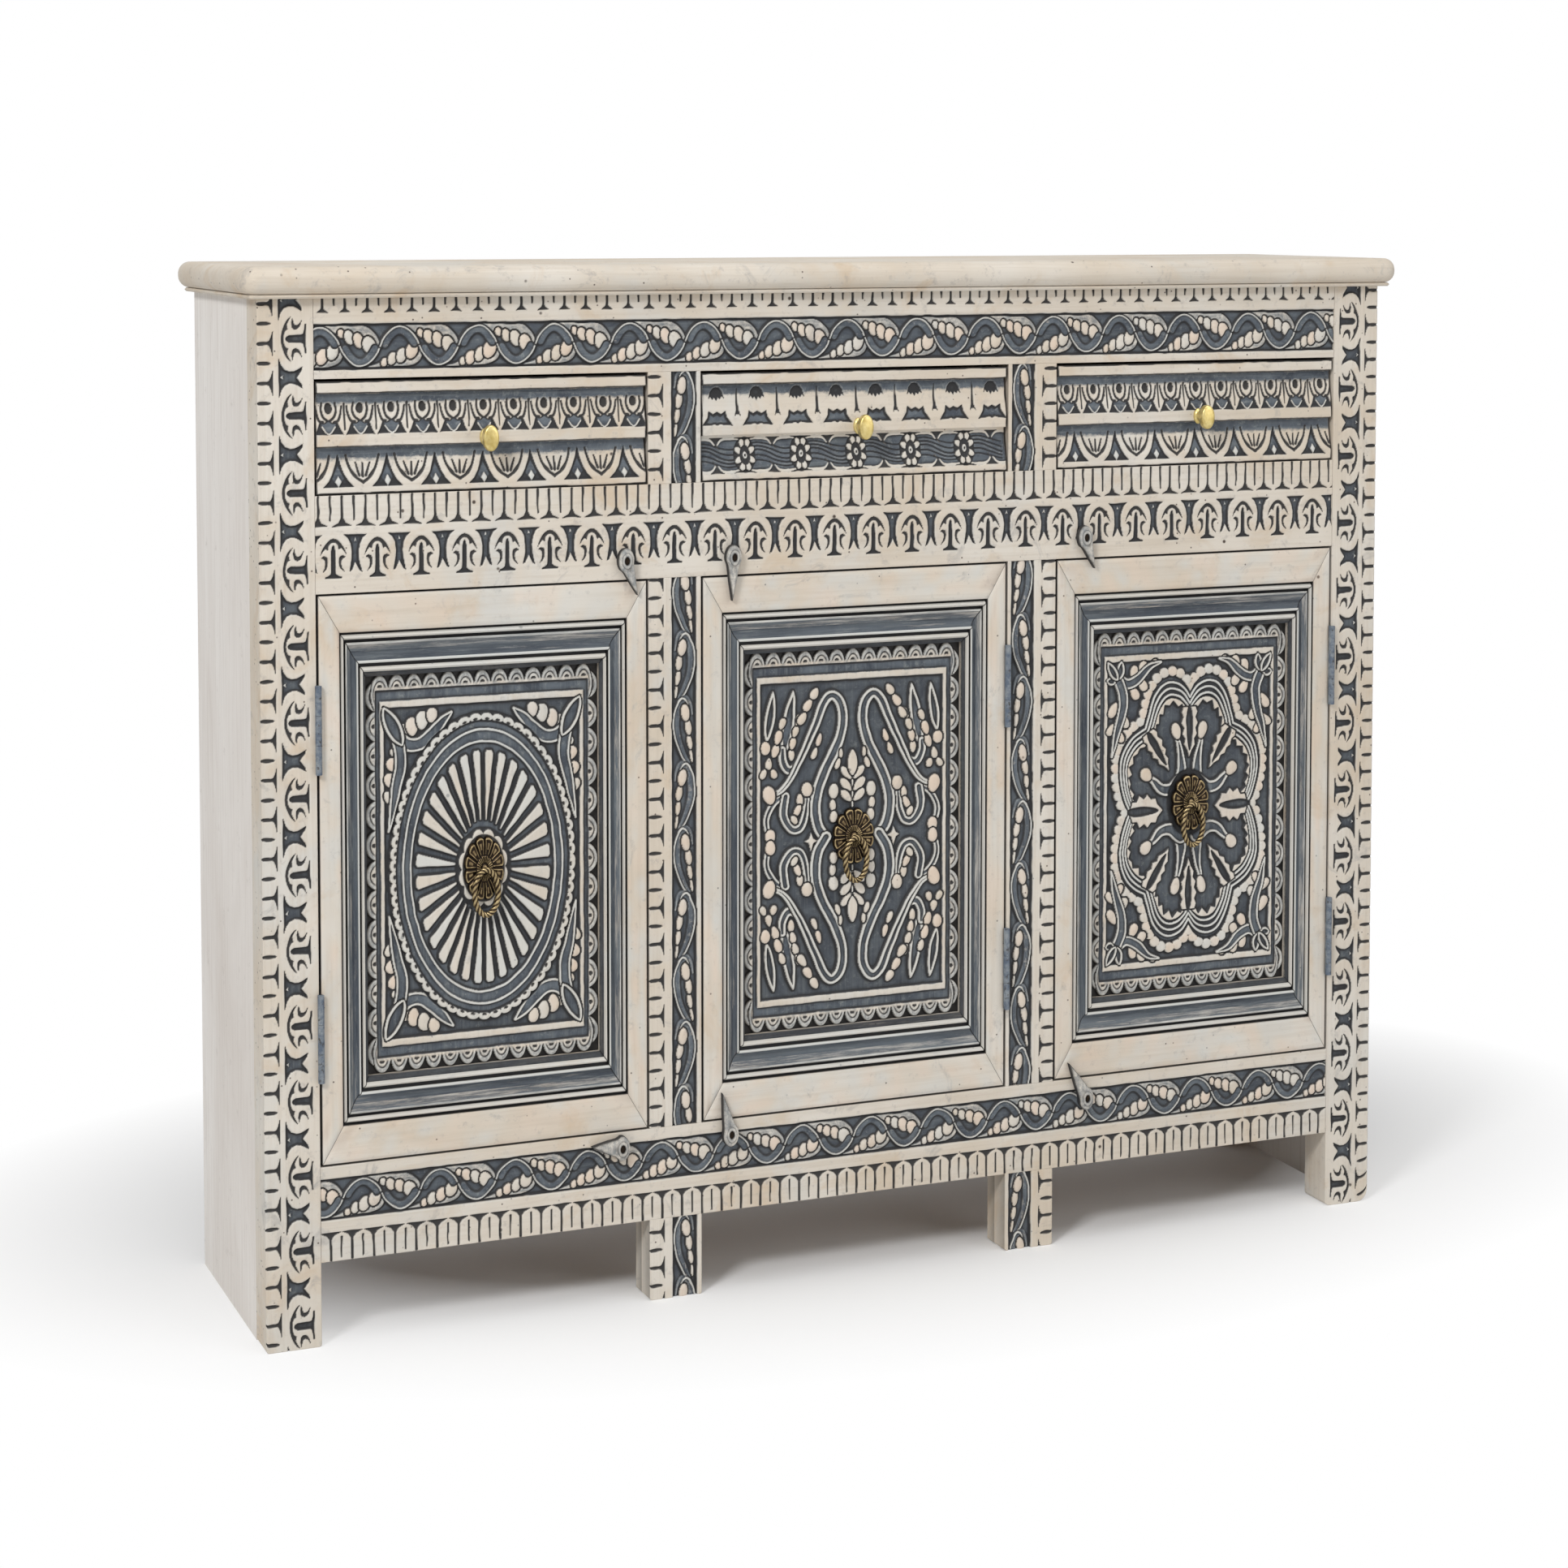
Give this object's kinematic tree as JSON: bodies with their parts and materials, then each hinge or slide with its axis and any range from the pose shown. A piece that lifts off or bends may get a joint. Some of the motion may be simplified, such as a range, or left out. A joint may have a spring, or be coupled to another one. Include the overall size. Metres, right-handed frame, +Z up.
{
  "type": "carved cabinet",
  "caption": "Free-standing carved and whitewashed wooden cabinet with panelled doors under a row of drawers, ring pulls, turn buttons and a rounded top board",
  "frame": {"origin": "on the floor, under the middle of the cabinet's bounding box", "axes": "+X to the right as one faces the doors, +Y from the front to the back, +Z up"},
  "size_m": [1.155, 0.277, 0.95],
  "materials": {
    "carved_wood": "whitewashed, carved, rubbed slate blue in the hollows",
    "plain_wood": "thin grey wash",
    "raw_wood": "unpainted",
    "dark_brass": "antique, dark in the hollows",
    "bright_brass": "polished",
    "hinge_paint": "slate paint, rubbed"
  },
  "bodies": {
    "root": {"top_board": "carved_wood", "top_bead_board": "carved_wood", "front_post_left": "carved_wood", "front_post_right": "carved_wood", "mid_stile_left": "carved_wood", "mid_stile_right": "carved_wood", "top_rail": "carved_wood", "mid_rail": "carved_wood", "bottom_rail": "carved_wood", "side_panel_left": "plain_wood", "side_panel_right": "plain_wood", "back_panel": "plain_wood", "rear_posts": "raw_wood", "bottom_board": "raw_wood", "shelf": "raw_wood", "drawer_deck": "raw_wood", "side_cleats": "raw_wood", "drawer_guides": "raw_wood", "drawer_kickers": "raw_wood", "door_stops": "raw_wood", "drawer_stops": "raw_wood", "hinge_pins": "hinge_paint", "turn_screws": "hinge_paint"},
    "drawer_left": {"drawer_front_left": "carved_wood", "drawer_box_left": "raw_wood", "drawer_bottom_left": "raw_wood", "drawer_knob_left": "bright_brass"},
    "drawer_middle": {"drawer_front_middle": "carved_wood", "drawer_box_middle": "raw_wood", "drawer_bottom_middle": "raw_wood", "drawer_knob_middle": "bright_brass"},
    "drawer_right": {"drawer_front_right": "carved_wood", "drawer_box_right": "raw_wood", "drawer_bottom_right": "raw_wood", "drawer_knob_right": "bright_brass"},
    "door_left": {"door_frame_left": "carved_wood", "door_moulding_left": "carved_wood", "door_panel_left": "carved_wood", "door_rosette_left": "dark_brass", "hinge_leaves_left": "hinge_paint"},
    "door_middle": {"door_frame_middle": "carved_wood", "door_moulding_middle": "carved_wood", "door_panel_middle": "carved_wood", "door_rosette_middle": "dark_brass", "hinge_leaves_middle": "hinge_paint"},
    "door_right": {"door_frame_right": "carved_wood", "door_moulding_right": "carved_wood", "door_panel_right": "carved_wood", "door_rosette_right": "dark_brass", "hinge_leaves_right": "hinge_paint"},
    "pull_left": {"door_ring_left": "dark_brass"},
    "pull_middle": {"door_ring_middle": "dark_brass"},
    "pull_right": {"door_ring_right": "dark_brass"},
    "button_upper_left": {"turn_upper_left": "carved_wood"},
    "button_upper_middle": {"turn_upper_middle": "carved_wood"},
    "button_upper_right": {"turn_upper_right": "carved_wood"},
    "button_lower_left": {"turn_lower_left": "carved_wood"},
    "button_lower_middle": {"turn_lower_middle": "carved_wood"},
    "button_lower_right": {"turn_lower_right": "carved_wood"}
  },
  "joints": [
    {"name": "drawer_left_slide", "type": "slide", "parent": "root", "child": "drawer_left", "axis": [0, -1, 0], "range_m": [0, 0.165]},
    {"name": "drawer_middle_slide", "type": "slide", "parent": "root", "child": "drawer_middle", "axis": [0, -1, 0], "range_m": [0, 0.165]},
    {"name": "drawer_right_slide", "type": "slide", "parent": "root", "child": "drawer_right", "axis": [0, -1, 0], "range_m": [0, 0.165]},
    {"name": "door_left_hinge", "type": "hinge", "parent": "root", "child": "door_left", "pos_m": [-0.51225, -0.1198, 0.411], "axis": [0, 0, -1], "range_deg": [0, 105]},
    {"name": "door_middle_hinge", "type": "hinge", "parent": "root", "child": "door_middle", "pos_m": [0.15475, -0.1198, 0.411], "axis": [0, 0, 1], "range_deg": [0, 105]},
    {"name": "door_right_hinge", "type": "hinge", "parent": "root", "child": "door_right", "pos_m": [0.51225, -0.1198, 0.411], "axis": [0, 0, 1], "range_deg": [0, 105]},
    {"name": "pull_left_swing", "type": "hinge", "parent": "door_left", "child": "pull_left", "pos_m": [-0.35975, -0.1145, 0.41155], "axis": [-1, 0, 0], "range_deg": [0, 80]},
    {"name": "pull_middle_swing", "type": "hinge", "parent": "door_middle", "child": "pull_middle", "pos_m": [0, -0.1145, 0.41305], "axis": [-1, 0, 0], "range_deg": [0, 80]},
    {"name": "pull_right_swing", "type": "hinge", "parent": "door_right", "child": "pull_right", "pos_m": [0.35975, -0.1145, 0.41855], "axis": [-1, 0, 0], "range_deg": [0, 80]},
    {"name": "button_upper_left_turn", "type": "hinge", "parent": "root", "child": "button_upper_left", "pos_m": [-0.2293, -0.1213, 0.6831], "axis": [0, -1, 0], "continuous": true},
    {"name": "button_upper_middle_turn", "type": "hinge", "parent": "root", "child": "button_upper_middle", "pos_m": [-0.1255, -0.1213, 0.6819], "axis": [0, -1, 0], "continuous": true},
    {"name": "button_upper_right_turn", "type": "hinge", "parent": "root", "child": "button_upper_right", "pos_m": [0.2357, -0.1213, 0.6855], "axis": [0, -1, 0], "continuous": true},
    {"name": "button_lower_left_turn", "type": "hinge", "parent": "root", "child": "button_lower_left", "pos_m": [-0.2349, -0.1213, 0.1464], "axis": [0, -1, 0], "continuous": true},
    {"name": "button_lower_middle_turn", "type": "hinge", "parent": "root", "child": "button_lower_middle", "pos_m": [-0.1287, -0.1213, 0.1476], "axis": [0, -1, 0], "continuous": true},
    {"name": "button_lower_right_turn", "type": "hinge", "parent": "root", "child": "button_lower_right", "pos_m": [0.2401, -0.1213, 0.1412], "axis": [0, -1, 0], "continuous": true}
  ]
}
